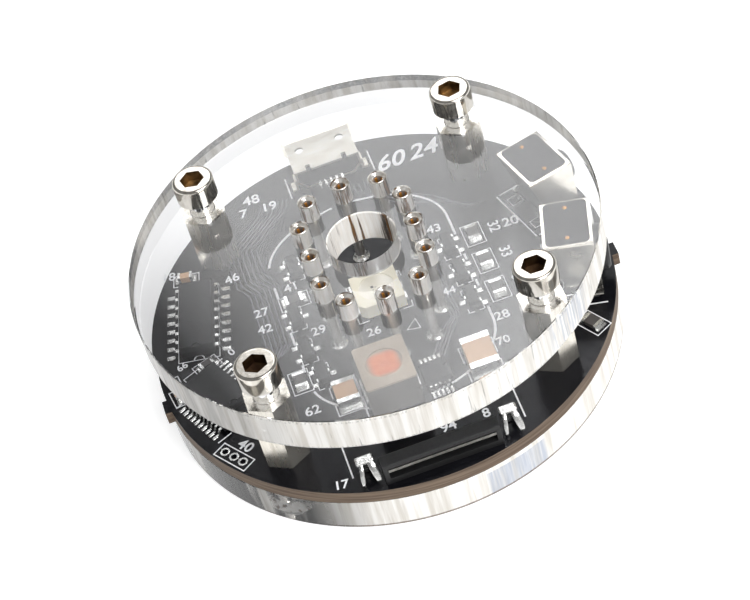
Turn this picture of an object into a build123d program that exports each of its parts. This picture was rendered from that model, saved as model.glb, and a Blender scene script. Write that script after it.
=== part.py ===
from build123d import *
import math
import os

# Round two-plate clock base for a top-view numeral tube.
# Frame: origin at the centre of the bottom plate's underside, +Z up,
# +Y towards the power inlet, +X towards the two push switches. Millimetres.

# ---- stack ----
DISC_R = 25.0
PLATE_T = 4.0
BOARD_T = 1.6
GAP = 7.0
BOARD_BOTTOM = PLATE_T
BOARD_TOP = BOARD_BOTTOM + BOARD_T
PLATE_BOTTOM = BOARD_TOP + GAP
PLATE_TOP = PLATE_BOTTOM + PLATE_T
EDGE_BREAK = 0.15

# ---- screws and standoffs (M2.5) ----
SCREW_SPACING = 29.2
SCREW_R = 1.25
SCREW_CLEARANCE = 0.10
THREAD_CLEARANCE = 0.03
TOP_THREAD = 4.0
SCREW_END_GAP = 0.6
BOTTOM_THREAD = GAP - TOP_THREAD - SCREW_END_GAP
CAP_HEAD_R = 2.25
CAP_HEAD_H = 2.5
CAP_HEX_AF = 2.0
CAP_HEX_DEPTH = 1.3
FLAT_HEAD_R = 2.35
FLAT_HEX_AF = 1.5
FLAT_HEX_DEPTH = 0.8
COUNTERSINK_CLEARANCE = 0.05
STANDOFF_AF = 4.5
HEAD_BREAK = 0.3

# ---- tube sockets: an oval of twelve pins ----
PIN_END_Y = 8.8
PIN_SHOULDER_X = 3.95
PIN_SHOULDER_Y = 7.85
PIN_COLUMN_X = 5.7
PIN_ROW_PITCH = 4.4
BARREL_R = 0.95
BARREL_CLEARANCE = 0.05
BARREL_BELOW_PLATE = 0.4
BARREL_BORE_R = 0.58
BARREL_MOUTH_R = 0.84
BARREL_MOUTH_DEPTH = 0.4
SOCKET_SIDES = 12
CONTACT_RECESS = 0.5
BARREL_FLOOR_T = 0.55
CONTACT_BAND = 0.9
CONTACT_WALL = 0.10
CONTACT_THROAT_R = 0.34
CONTACT_FLARE_R = 0.43
CONTACT_SIDE_GAP = 0.01
TAIL_R = 0.6
TAIL_CLEARANCE = 0.05
SOLDER_R = 0.98
SOLDER_H = 0.55
TIP_HOLE_R = 3.65

# ---- board outline and header ----
NUB_Y = -3.0
NUB_W = 1.8
NUB_OUT = 0.4
HEADER_X = -19.9
HEADER_Y = -13.0
HEADER_ANGLE = -56.0
HEADER_PITCH = 1.27
HEADER_HOLE_R = 0.35
HEADER_RING_R = 0.55
HEADER_SIDES = 8
PAD_T = 0.05

# ---- side push switches ----
SWITCH_ANGLE = 15.0
SWITCH_SET_IN = 1.4
SHEET = 0.3
BODY_W = 6.2
ROOF_CLEARANCE = 0.5
BODY_H = GAP - SHEET - ROOF_CLEARANCE
BODY_D = 3.4
COVER_T = 0.3
BRACKET_D = 5.2
SWITCH_BACK = DISC_R - SWITCH_SET_IN - BRACKET_D
BRACKET_LEG_W = 1.4
BRACKET_LEG_SLOT = 0.75
PLUNGER_R = 1.75
PLUNGER_CLEARANCE = 0.05
PLUNGER_OUT = 1.2
PLUNGER_TRAVEL = 0.25
PLUNGER_RISE = 0.2
PLUNGER_Z = BODY_H / 2 + PLUNGER_RISE
PLUNGER_BREAK = 0.25
FLANGE_R = 2.25
FLANGE_T = 0.45
FRONT_WALL = 0.8
CHAMBER_R = 2.4
CHAMBER_D = 1.5
AIR = 0.05
DOME_R = 2.1
DOME_WALL = 0.08
DOME_CROWN_SHARE = 0.5
LEG_W = 0.7
LEG_T = 0.3
LEG_PITCH = 4.5
LEG_HOLE_R = 0.5
LEG_SET_BACK = 0.75

# ---- power inlet (small five-contact connector) ----
INLET_W = 7.5
INLET_H = 2.6
INLET_D = 5.6
INLET_WALL = 0.25
INLET_OVERHANG = 0.6
INLET_MOUTH_Y = DISC_R + INLET_OVERHANG
INLET_CORNER = 0.9
INLET_FLARE = 0.35
INLET_FLARE_D = 0.5
INLET_HOLE_X = 2.35
INLET_HOLE_R = 0.5
INLET_HOLE_IN = 2.1
INLET_NOTCH_X = 2.1
INLET_NOTCH_W = 0.55
INLET_NOTCH_D = 0.8
INLET_FOOT_W = 1.3
INLET_FOOT_OUT = 0.7
TONGUE_W = 3.7
TONGUE_T = 0.6
TONGUE_OUT = 3.2
INLET_BACK_D = 1.2
INLET_PIN_PITCH = 0.65
INLET_PIN_W = 0.3
INLET_PIN_T = 0.12
INLET_PIN_OUT = 1.0
INLET_PIN_COUNT = 5

# ---- side-entry socket at the near edge ----
EDGE_W = 12.4
EDGE_D = 1.8
EDGE_H = 2.6
EDGE_SET_IN = 1.4
EDGE_FRONT_Y = EDGE_SET_IN - DISC_R
EDGE_SLOT_W = 11.4
EDGE_SLOT_H = 1.4
EDGE_SLOT_Z = 0.75
EDGE_SLOT_D = 1.2
EDGE_BAR_T = 0.35
EDGE_BAR_D = 1.0
CLIP_W = 2.2
CLIP_ASIDE = 0.3
CLIP_X = (EDGE_W + CLIP_W) / 2 + CLIP_ASIDE
CLIP_H = 2.4
CLIP_T = 0.35
CLIP_BACK_Y = EDGE_FRONT_Y + 3.1
CLIP_FRONT_Y = EDGE_FRONT_Y + 0.55
CLIP_ROOF_D = 1.5
CLIP_PRONG_W = 0.65

# ---- light package under the tube ----
LED_W = 5.0
LED_H = 1.6
LED_WINDOW_R = 1.95
LED_WINDOW_T = 0.5
LED_LEAD_W = 0.9
LED_LEAD_PITCH = 1.7
LED_LEAD_OUT = 0.25
LED_CORNER = 0.6

# ---- inductor ----
COIL_X = -2.35
COIL_Y = -13.0
COIL_W = 5.4
COIL_L = 6.2
COIL_H = 4.0
COIL_WELL_R = 1.95
COIL_WELL_D = 1.7
COIL_DROP = 0.15
COIL_POST_R = 0.5
COIL_END_W = 3.4
COIL_END_T = 0.2
COIL_END_H = 1.0

# ---- chips: x, y, turn about Z, body w, body l, body h, leads a side, pitch, span, lead w ----
CLOCK_CHIP = (-19.05, 5.36, -12.3, 3.9, 9.9, 1.6, 8, 1.27, 6.0, 0.42)
CONTROLLER = (-19.4, -5.6, 24.7, 4.4, 6.5, 1.0, 10, 0.65, 6.4, 0.22)
BOOST_CHIP = (2.4, -13.5, 90.0, 3.0, 3.0, 0.95, 5, 0.5, 4.9, 0.22)
CHIP_STANDOFF = 0.1
CHIP_SLOPE = 0.15
LEAD_T = 0.12
LEAD_FOOT = 0.5
NOTCH_R = 0.45
NOTCH_DEPTH = 0.15

# ---- small transistors: x, y, turn ----
TRANSISTORS = [
    (-7.5, 8.2, 0.0),
    (-9.1, 1.0, 0.0),
    (-9.2, -4.1, 0.0),
    (-8.5, -8.2, 0.0),
    (8.95, 3.5, 180.0),
    (9.0, -0.7, 180.0),
    (8.95, -5.0, 180.0),
]
SOT_W = 1.3
SOT_L = 2.9
SOT_H = 1.0
SOT_PITCH = 1.9
SOT_SPAN = 2.4
SOT_LEAD_W = 0.42

# ---- two-ended chips: x, y, turn, length, width, height ----
CAPACITORS = [
    (-6.9, -12.2, 90.0, 3.2, 2.3, 1.3),
    (7.3, -13.7, 90.0, 4.5, 3.0, 1.8),
    (-18.9, 12.4, -12.3, 1.6, 0.8, 0.8),
    (-23.5, -2.4, -82.0, 1.2, 0.7, 0.7),
]
RESISTORS = [
    (11.9, 4.2, 90.0, 2.0, 1.25, 0.5),
    (11.9, -0.2, 90.0, 2.0, 1.25, 0.5),
    (11.9, -4.7, 90.0, 2.0, 1.25, 0.5),
    (-8.6, 3.66, 0.0, 2.0, 1.25, 0.5),
    (-10.9, -7.9, 90.0, 2.0, 1.25, 0.5),
    (-19.6, -1.05, 20.0, 1.6, 0.8, 0.45),
    (19.6, -12.2, -60.0, 2.0, 1.25, 0.5),
]
END_SHARE = 0.18
END_WALL = 0.05


def tube_pins():
    """Pin centres of the oval, as (x, y)."""
    points = [(0.0, PIN_END_Y), (0.0, -PIN_END_Y)]
    for side in (-1, 1):
        for end in (-1, 1):
            points.append((side * PIN_SHOULDER_X, end * PIN_SHOULDER_Y))
            points.append((side * PIN_COLUMN_X, end * PIN_ROW_PITCH))
        points.append((side * PIN_COLUMN_X, 0.0))
    return points


def screw_points():
    half = SCREW_SPACING / 2
    return [(x * half, y * half) for x in (-1, 1) for y in (-1, 1)]


def header_points():
    place = Location((HEADER_X, HEADER_Y, 0), (0, 0, HEADER_ANGLE))
    return [place * Location((n * HEADER_PITCH, 0, 0)) for n in (-1, 0, 1)]


def upright(radius, bottom, top):
    """Cylinder on the Z axis between two heights."""
    return Pos(0, 0, bottom) * extrude(Circle(radius), top - bottom)


def prism(radius, bottom, top, sides=SOCKET_SIDES):
    """Many-sided column on the Z axis, its corners at the radius."""
    return Pos(0, 0, bottom) * extrude(RegularPolygon(radius, sides), top - bottom)


def taper(low_r, bottom, high_r, top, sides=SOCKET_SIDES):
    """Many-sided cone on the Z axis from one corner radius to another."""
    low = Pos(0, 0, bottom) * RegularPolygon(low_r, sides)
    high = Pos(0, 0, top) * RegularPolygon(high_r, sides)
    return loft([low, high])


def block(x0, x1, y0, y1, z0, z1):
    """Box between two corners."""
    size = Box(x1 - x0, y1 - y0, z1 - z0)
    return Pos((x0 + x1) / 2, (y0 + y1) / 2, (z0 + z1) / 2) * size


def spread(piece, points):
    return [Pos(x, y, 0) * piece for x, y in points]


def ring_profile(points):
    """Solid of revolution about Z from (radius, height) points."""
    outline = Plane.XZ * make_face(Polyline(*points, close=True))
    return revolve(outline, Axis.Z)


def on_board(piece, x, y, turn):
    """Set a piece modelled on z = 0 down on the board."""
    return Location((x, y, BOARD_TOP), (0, 0, turn)) * piece


def switch_place(side):
    return Location((0, 0, BOARD_TOP), (0, 0, side * SWITCH_ANGLE))


# ---- plates, board, standoffs, screws ----

def screw_hole(bottom, top):
    return upright(SCREW_R + SCREW_CLEARANCE, bottom, top)


def plate_blank(bottom):
    blank = upright(DISC_R, bottom, bottom + PLATE_T)
    rims = blank.edges().filter_by(GeomType.CIRCLE)
    return chamfer(rims, EDGE_BREAK)


def bottom_plate():
    head_top = FLAT_HEAD_R + COUNTERSINK_CLEARANCE
    shank = SCREW_R + SCREW_CLEARANCE
    sink = ring_profile([(0, -0.1), (head_top + 0.1, -0.1), (shank, head_top - shank), (0, head_top - shank)])
    cut = sink + screw_hole(0, PLATE_T)
    return plate_blank(0) - spread(cut, screw_points())


def circuit_board():
    board = upright(DISC_R, BOARD_BOTTOM, BOARD_TOP)
    reach = DISC_R + NUB_OUT
    board += block(-reach, reach, NUB_Y - NUB_W / 2, NUB_Y + NUB_W / 2, BOARD_BOTTOM, BOARD_TOP)
    board -= spread(screw_hole(BOARD_BOTTOM, BOARD_TOP), screw_points())
    board -= spread(prism(TAIL_R + TAIL_CLEARANCE, BOARD_BOTTOM, BOARD_TOP), tube_pins())
    board -= [spot * prism(HEADER_HOLE_R, BOARD_BOTTOM, BOARD_TOP, HEADER_SIDES) for spot in header_points()]
    leg_hole = prism(LEG_HOLE_R, -BOARD_T, 0)
    bracket_hole = prism(BRACKET_LEG_SLOT, -BOARD_T, 0)
    for side in (-1, 1):
        place = switch_place(side)
        board -= [place * Pos(x, y, 0) * leg_hole for x, y in terminal_points()]
        board -= [place * Pos(x, y, 0) * bracket_hole for x, y in bracket_points()]
    return board


def top_plate():
    plate = plate_blank(PLATE_BOTTOM)
    plate -= upright(TIP_HOLE_R, PLATE_BOTTOM, PLATE_TOP)
    plate -= spread(screw_hole(PLATE_BOTTOM, PLATE_TOP), screw_points())
    return plate - spread(prism(BARREL_R + BARREL_CLEARANCE, PLATE_BOTTOM, PLATE_TOP), tube_pins())


def standoffs():
    hexagon = RegularPolygon(STANDOFF_AF / 2, 6, major_radius=False, rotation=30)
    column = Pos(0, 0, BOARD_TOP) * extrude(hexagon, GAP)
    column -= upright(SCREW_R + THREAD_CLEARANCE, BOARD_TOP, PLATE_BOTTOM)
    return spread(column, screw_points())


def hex_recess(across_flats, depth, mouth_z, inward):
    hexagon = RegularPolygon(across_flats / 2, 6, major_radius=False)
    return Pos(0, 0, mouth_z) * extrude(hexagon, depth * inward)


def top_screws():
    head_top = PLATE_TOP + CAP_HEAD_H
    head = upright(CAP_HEAD_R, PLATE_TOP, head_top)
    head = chamfer(head.edges().filter_by(GeomType.CIRCLE).sort_by(Axis.Z)[-1], HEAD_BREAK)
    screw = head + upright(SCREW_R, PLATE_BOTTOM - TOP_THREAD, PLATE_TOP)
    screw -= hex_recess(CAP_HEX_AF, CAP_HEX_DEPTH, head_top, -1)
    return spread(screw, screw_points())


def bottom_screws():
    cone_h = FLAT_HEAD_R - SCREW_R
    end = BOARD_TOP + BOTTOM_THREAD
    profile = [(0, 0), (FLAT_HEAD_R, 0), (SCREW_R, cone_h), (SCREW_R, end), (0, end)]
    screw = ring_profile(profile) - hex_recess(FLAT_HEX_AF, FLAT_HEX_DEPTH, 0, 1)
    return spread(screw, screw_points())


# ---- tube sockets ----

def socket_barrels():
    shoulder = PLATE_BOTTOM - BARREL_BELOW_PLATE
    floor = shoulder + BARREL_FLOOR_T
    mouth_z = PLATE_TOP - BARREL_MOUTH_DEPTH
    barrel = prism(TAIL_R, BOARD_BOTTOM, shoulder) + prism(BARREL_R, shoulder, PLATE_TOP)
    barrel -= prism(BARREL_BORE_R, floor, PLATE_TOP)
    barrel -= taper(BARREL_BORE_R, mouth_z, BARREL_MOUTH_R, PLATE_TOP)
    return spread(barrel, tube_pins())


def socket_contacts():
    """Spring sleeves: a band that seats in the bore and four fingers that lean in."""
    low = PLATE_BOTTOM - BARREL_BELOW_PLATE + BARREL_FLOOR_T
    high = PLATE_TOP - CONTACT_RECESS
    band = low + CONTACT_BAND
    throat = high - CONTACT_BAND * 0.6
    half_side = math.pi / SOCKET_SIDES
    flat = BARREL_BORE_R * math.cos(half_side)
    width = 2 * (BARREL_BORE_R * math.sin(half_side) - CONTACT_SIDE_GAP)
    sleeve = prism(BARREL_BORE_R, low, band) - prism(BARREL_BORE_R - CONTACT_WALL, low, band)
    corners = [
        (flat, band - CONTACT_WALL),
        (flat, band),
        (CONTACT_THROAT_R + CONTACT_WALL, throat),
        (CONTACT_FLARE_R + CONTACT_WALL, high),
        (CONTACT_FLARE_R, high),
        (CONTACT_THROAT_R, throat),
        (flat - CONTACT_WALL, band),
        (flat - CONTACT_WALL, band - CONTACT_WALL),
    ]
    side_view = Plane.XZ * make_face(Polyline(*corners, close=True))
    finger = Pos(0, width / 2, 0) * extrude(side_view, width)
    for quarter in range(4):
        sleeve += Rot(0, 0, math.degrees(half_side) + quarter * 90) * finger
    return spread(sleeve, tube_pins())


def socket_solder():
    """Solder cone round each socket tail."""
    top = BOARD_TOP + SOLDER_H
    cone = taper(SOLDER_R, BOARD_TOP, TAIL_R + 0.12, top) - prism(TAIL_R, BOARD_TOP, top)
    return spread(cone, tube_pins())


def header_rings():
    ring = prism(HEADER_RING_R, BOARD_TOP, BOARD_TOP + PAD_T, HEADER_SIDES)
    ring -= prism(HEADER_HOLE_R, BOARD_TOP, BOARD_TOP + PAD_T, HEADER_SIDES)
    return [spot * ring for spot in header_points()]


# ---- side push switches: local +X points out of the disc, z = 0 on the board ----

SWITCH_FRONT = SWITCH_BACK + BRACKET_D
BODY_FRONT = SWITCH_FRONT - COVER_T
BODY_BACK = BODY_FRONT - BODY_D


def terminal_points():
    x = BODY_BACK - LEG_SET_BACK
    return [(x, side * LEG_PITCH / 2) for side in (-1, 1)]


def bracket_points():
    x = SWITCH_BACK + BRACKET_D / 2
    y = BODY_W / 2 + SHEET / 2
    return [(x, side * y) for side in (-1, 1)]


def along_x(radius, x0, x1):
    """Cylinder on the plunger's axis between two x values."""
    return Pos(x0, 0, PLUNGER_Z) * Rot(0, 90, 0) * extrude(Circle(radius), x1 - x0)


def switch_body():
    body = block(BODY_BACK, BODY_FRONT, -BODY_W / 2, BODY_W / 2, 0, BODY_H)
    body = chamfer(body.edges().filter_by(Axis.Z), SHEET)
    body -= along_x(PLUNGER_R + PLUNGER_CLEARANCE, BODY_FRONT - FRONT_WALL, BODY_FRONT)
    inner = BODY_FRONT - FRONT_WALL
    return body - along_x(CHAMBER_R, inner - CHAMBER_D, inner)


def switch_cover():
    half = BODY_W / 2
    plate = block(BODY_FRONT, SWITCH_FRONT, -half, half, 0, BODY_H)
    plate = chamfer(plate.edges().filter_by(Axis.X), HEAD_BREAK)
    return plate - along_x(PLUNGER_R + PLUNGER_CLEARANCE, BODY_FRONT, SWITCH_FRONT)


def switch_bracket():
    """Folded strap: a roof over the body and two flanks with board legs."""
    half = BODY_W / 2
    roof_z = BODY_H + SHEET
    roof = block(SWITCH_BACK, SWITCH_FRONT, -half - SHEET, half + SHEET, BODY_H, roof_z)
    roof = fillet(roof.edges().filter_by(Axis.X).group_by(Axis.Z)[-1], SHEET * 0.9)
    bracket = roof
    for (x, y) in bracket_points():
        low, high = y - SHEET / 2, y + SHEET / 2
        corners = [
            (SWITCH_BACK, BODY_H),
            (SWITCH_FRONT, BODY_H),
            (SWITCH_FRONT, 0.6),
            (x + BRACKET_LEG_W / 2, 0.6),
            (x + BRACKET_LEG_W / 2, 0),
            (x - BRACKET_LEG_W / 2, 0),
            (x - BRACKET_LEG_W / 2, 0.6),
            (SWITCH_BACK + 1.6, 0.6),
        ]
        flank = Plane.XZ * make_face(Polyline(*corners, close=True))
        bracket += Pos(0, high, 0) * extrude(flank, SHEET)
        bracket += block(x - LEG_W / 2, x + LEG_W / 2, low, high, -BOARD_T, 0)
    return bracket


def switch_terminals():
    """Bent legs from the back of the body down through the board."""
    legs = []
    for x, y in terminal_points():
        low, high = y - LEG_W / 2, y + LEG_W / 2
        leg = block(x - LEG_T / 2, BODY_BACK, low, high, 1.0, 1.0 + LEG_T)
        leg += block(x - LEG_T / 2, x + LEG_T / 2, low, high, -BOARD_T, 1.0 + LEG_T)
        legs.append(leg)
    return legs


def switch_dome():
    """Snap dome on the chamber's floor, its crown clear of the full press."""
    base = BODY_FRONT - FRONT_WALL - CHAMBER_D
    crown = CHAMBER_D - AIR - FLANGE_T - PLUNGER_TRAVEL - AIR
    outside = taper(DOME_R, 0, DOME_R * DOME_CROWN_SHARE, crown)
    inside = taper(DOME_R - DOME_WALL, 0, DOME_R * DOME_CROWN_SHARE - DOME_WALL, crown - DOME_WALL)
    return Pos(base, 0, PLUNGER_Z) * Rot(0, 90, 0) * (outside - inside)


def switch_plunger():
    stop = BODY_FRONT - FRONT_WALL - AIR
    stem = along_x(PLUNGER_R, stop - FLANGE_T, SWITCH_FRONT + PLUNGER_OUT)
    tip = stem.edges().filter_by(GeomType.CIRCLE).sort_by(Axis.X)[-1]
    stem = chamfer(tip, PLUNGER_BREAK)
    return stem + along_x(FLANGE_R, stop - FLANGE_T, stop)


# ---- power inlet ----

INLET_REAR_Y = INLET_MOUTH_Y - INLET_D


def inlet_outline(grow):
    """Shell section in XZ: square top, drawn-in lower corners."""
    half, low, high = INLET_W / 2 + grow, -grow, INLET_H + grow
    slant = INLET_CORNER
    corners = [
        (-half, high),
        (half, high),
        (half, low + slant),
        (half - slant, low),
        (-half + slant, low),
        (-half, low + slant),
    ]
    return make_face(Polyline(*corners, close=True))


def inlet_prism(grow, y0, y1):
    section = Plane.XZ.offset(-y0) * inlet_outline(grow)
    return extrude(section, y0 - y1)


def inlet_flare(grow):
    near = Plane.XZ.offset(-(INLET_MOUTH_Y - INLET_FLARE_D)) * inlet_outline(grow)
    far = Plane.XZ.offset(-INLET_MOUTH_Y) * inlet_outline(grow + INLET_FLARE)
    return loft([near, far])


def usb_shell():
    throat_y = INLET_MOUTH_Y - INLET_FLARE_D
    shell = inlet_prism(0, INLET_REAR_Y, throat_y) - inlet_prism(-INLET_WALL, INLET_REAR_Y, throat_y)
    shell += inlet_flare(0) - inlet_flare(-INLET_WALL)
    hole = Pos(0, INLET_MOUTH_Y - INLET_HOLE_IN, 0) * upright(INLET_HOLE_R, INLET_H / 2, INLET_H)
    foot_y = INLET_REAR_Y + 0.1
    foot_top = INLET_CORNER + 0.5
    for side in (-1, 1):
        shell -= Pos(side * INLET_HOLE_X, 0, 0) * hole
        x = side * INLET_NOTCH_X
        half = INLET_NOTCH_W / 2
        shell -= block(x - half, x + half, INLET_REAR_Y, INLET_REAR_Y + INLET_NOTCH_D, INLET_H / 2, INLET_H)
        inner = INLET_W / 2
        edges = sorted((side * inner, side * (inner + INLET_WALL)))
        shell += block(*edges, foot_y, foot_y + INLET_FOOT_W, 0, foot_top)
        edges = sorted((side * inner, side * (inner + INLET_FOOT_OUT)))
        shell += block(*edges, foot_y, foot_y + INLET_FOOT_W, 0, INLET_WALL)
    return Pos(0, 0, BOARD_TOP) * shell


def inlet_pin_x():
    middle = (INLET_PIN_COUNT - 1) / 2
    return [(n - middle) * INLET_PIN_PITCH for n in range(INLET_PIN_COUNT)]


def usb_insulator():
    back = inlet_prism(-INLET_WALL, INLET_REAR_Y, INLET_REAR_Y + INLET_BACK_D)
    half = TONGUE_W / 2
    mid = INLET_H * 0.55
    tip_y = INLET_REAR_Y + INLET_BACK_D + TONGUE_OUT
    tongue = block(-half, half, INLET_REAR_Y, tip_y, mid - TONGUE_T / 2, mid + TONGUE_T / 2)
    return Pos(0, 0, BOARD_TOP) * (back + tongue)


def usb_contacts():
    """Strips under the tongue, and tails on the board behind the shell."""
    half = INLET_PIN_W / 2
    top = INLET_H * 0.55 - TONGUE_T / 2
    start = INLET_REAR_Y + INLET_BACK_D
    pieces = []
    for x in inlet_pin_x():
        strip = block(x - half, x + half, start, start + TONGUE_OUT * 0.85, top - INLET_PIN_T, top)
        tail = block(x - half, x + half, INLET_REAR_Y - INLET_PIN_OUT, INLET_REAR_Y, 0, INLET_PIN_T)
        riser = block(x - half, x + half, INLET_REAR_Y - INLET_PIN_T, INLET_REAR_Y, 0, INLET_WALL + 0.3)
        pieces += [strip, tail + riser]
    return [Pos(0, 0, BOARD_TOP) * piece for piece in pieces]


# ---- side-entry socket ----

def edge_housing():
    half = EDGE_W / 2
    back_y = EDGE_FRONT_Y + EDGE_D
    housing = block(-half, half, EDGE_FRONT_Y, back_y, 0, EDGE_H)
    housing = fillet(housing.edges().filter_by(Axis.X).group_by(Axis.Z)[-1], SHEET)
    half = EDGE_SLOT_W / 2
    slot = block(-half, half, EDGE_FRONT_Y, EDGE_FRONT_Y + EDGE_SLOT_D, EDGE_SLOT_Z, EDGE_SLOT_Z + EDGE_SLOT_H)
    return Pos(0, 0, BOARD_TOP) * (housing - slot)


def edge_bar():
    half = EDGE_SLOT_W / 2
    back_y = EDGE_FRONT_Y + EDGE_SLOT_D
    mid = EDGE_SLOT_Z + EDGE_SLOT_H * 0.6
    bar = block(-half, half, back_y - EDGE_BAR_D, back_y, mid - EDGE_BAR_T / 2, mid + EDGE_BAR_T / 2)
    return Pos(0, 0, BOARD_TOP) * bar


def edge_clips():
    """Forked hold-down clips at both ends of the housing."""
    half = CLIP_W / 2
    roof_front = CLIP_BACK_Y - CLIP_ROOF_D
    clip = block(-half, half, CLIP_BACK_Y - CLIP_T, CLIP_BACK_Y, 0, CLIP_H)
    clip += block(-half, half, roof_front, CLIP_BACK_Y, CLIP_H - CLIP_T, CLIP_H)
    corners = [
        (roof_front + 0.1, CLIP_H),
        (roof_front - 0.25, CLIP_H),
        (CLIP_FRONT_Y, 0),
        (CLIP_FRONT_Y + 0.45, 0),
        (roof_front + 0.1, CLIP_H - CLIP_T),
    ]
    side_view = Plane.YZ * make_face(Polyline(*corners, close=True))
    prong = extrude(side_view, CLIP_PRONG_W)
    clip += Pos(-half, 0, 0) * prong
    clip += Pos(half - CLIP_PRONG_W, 0, 0) * prong
    return [Pos(side * CLIP_X, 0, BOARD_TOP) * clip for side in (-1, 1)]


# ---- light package, inductor ----

def led_body():
    half = LED_W / 2
    body = block(-half, half, -half, half, 0, LED_H)
    corner = body.edges().filter_by(Axis.Z).sort_by(lambda edge: edge.center().X + edge.center().Y)[0]
    body = chamfer(corner, LED_CORNER)
    return Pos(0, 0, BOARD_TOP) * (body - upright(LED_WINDOW_R, LED_H - LED_WINDOW_T, LED_H))


def led_window():
    return Pos(0, 0, BOARD_TOP) * upright(LED_WINDOW_R, LED_H - LED_WINDOW_T, LED_H - 0.08)


def led_leads():
    half = LED_W / 2
    pieces = []
    for side in (-1, 1):
        x0, x1 = sorted((side * half, side * (half + LED_LEAD_OUT)))
        for row in (-1, 0, 1):
            y = row * LED_LEAD_PITCH
            pieces.append(block(x0, x1, y - LED_LEAD_W / 2, y + LED_LEAD_W / 2, 0, LED_H / 2))
    return [Pos(0, 0, BOARD_TOP) * piece for piece in pieces]


def inductor_core():
    core = block(-COIL_W / 2, COIL_W / 2, -COIL_L / 2, COIL_L / 2, 0, COIL_H)
    core = fillet(core.edges().filter_by(Axis.Z), 0.3)
    core -= upright(COIL_WELL_R, COIL_H - COIL_WELL_D, COIL_H)
    core += upright(COIL_POST_R, COIL_H - COIL_WELL_D, COIL_H - COIL_DROP)
    return on_board(core, COIL_X, COIL_Y, 0)


def inductor_winding():
    low, high = COIL_H - COIL_WELL_D, COIL_H - COIL_DROP
    return on_board(upright(COIL_WELL_R, low, high) - upright(COIL_POST_R, low, high), COIL_X, COIL_Y, 0)


def inductor_terminals():
    half = COIL_END_W / 2
    pieces = []
    for side in (-1, 1):
        x0, x1 = sorted((side * COIL_W / 2, side * (COIL_W / 2 + COIL_END_T)))
        pieces.append(on_board(block(x0, x1, -half, half, 0, COIL_END_H), COIL_X, COIL_Y, 0))
    return pieces


# ---- chips with bent leads: leads on local +X and -X, rows along local Y ----

def lead_row(count, pitch):
    return [(n - (count - 1) / 2) * pitch for n in range(count)]


def gull_lead(half_body, half_span, exit_z, width):
    """One bent lead on the +X side, centred on local Y = 0."""
    knee = half_body + (half_span - half_body - LEAD_FOOT) / 2
    heel = half_span - LEAD_FOOT
    corners = [
        (half_body, exit_z + LEAD_T),
        (knee + LEAD_T, exit_z + LEAD_T),
        (heel + LEAD_T, LEAD_T),
        (half_span, LEAD_T),
        (half_span, 0),
        (heel, 0),
        (knee, exit_z),
        (half_body, exit_z),
    ]
    side_view = Plane.XZ * make_face(Polyline(*corners, close=True))
    return Pos(0, width / 2, 0) * extrude(side_view, width)


def chip_body(width, length, height):
    """Moulded body: two tapers that meet at the lead line."""
    waist = CHIP_STANDOFF + height / 2
    edge = Rectangle(width, length)
    face = Rectangle(width - 2 * CHIP_SLOPE, length - 2 * CHIP_SLOPE)
    lower = loft([Pos(0, 0, CHIP_STANDOFF) * face, Pos(0, 0, waist) * edge])
    upper = loft([Pos(0, 0, waist) * edge, Pos(0, 0, CHIP_STANDOFF + height) * face])
    return lower + upper


def chip_leads(width, height, count, pitch, span, lead_w):
    lead = gull_lead(width / 2, span / 2, CHIP_STANDOFF + height / 2, lead_w)
    pieces = []
    for y in lead_row(count, pitch):
        pieces.append(Pos(0, y, 0) * lead)
        pieces.append(Rot(0, 0, 180) * Pos(0, y, 0) * lead)
    return pieces


def big_chip(chip):
    x, y, turn, width, length, height, count, pitch, span, lead_w = chip
    body = chip_body(width, length, height)
    top = CHIP_STANDOFF + height
    notch_y = -length / 2 + CHIP_SLOPE
    body -= Pos(0, notch_y, 0) * upright(NOTCH_R, top - NOTCH_DEPTH, top)
    leads = chip_leads(width, height, count, pitch, span, lead_w)
    return on_board(body, x, y, turn), [on_board(lead, x, y, turn) for lead in leads]


def transistor(x, y, turn):
    """Three-lead body: two leads on local -X, one on +X."""
    body = chip_body(SOT_W, SOT_L, SOT_H)
    lead = gull_lead(SOT_W / 2, SOT_SPAN / 2, CHIP_STANDOFF + SOT_H / 2, SOT_LEAD_W)
    leads = [lead]
    for row in (-1, 1):
        leads.append(Rot(0, 0, 180) * Pos(0, row * SOT_PITCH / 2, 0) * lead)
    return on_board(body, x, y, turn), [on_board(piece, x, y, turn) for piece in leads]


def two_ended(x, y, turn, length, width, height):
    """Ceramic chip and its two plated end caps, long way on local X."""
    cap_l = length * END_SHARE
    inner = block(-length / 2 + END_WALL, length / 2 - END_WALL, -width / 2, width / 2, 0, height)
    caps = []
    for side in (-1, 1):
        x0, x1 = sorted((side * (length / 2 - cap_l), side * length / 2))
        caps.append(block(x0, x1, -width / 2 - END_WALL, width / 2 + END_WALL, 0, height + END_WALL) - inner)
    return on_board(inner, x, y, turn), [on_board(cap, x, y, turn) for cap in caps]


def pairs(maker, rows):
    """Bodies and metal pieces of every row, as two lists."""
    bodies = []
    metal = []
    for row in rows:
        body, pieces = maker(*row)
        bodies.append(body)
        metal += pieces
    return bodies, metal


def solids_of(piece):
    pieces = piece if isinstance(piece, list) else [piece]
    return [solid for item in pieces for solid in item.solids()]


def write(name, piece):
    solids = solids_of(piece)
    shape = solids[0] if len(solids) == 1 else Compound(children=solids)
    shape.label = name
    export_step(shape, os.path.join("parts", name + ".step"))


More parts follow.
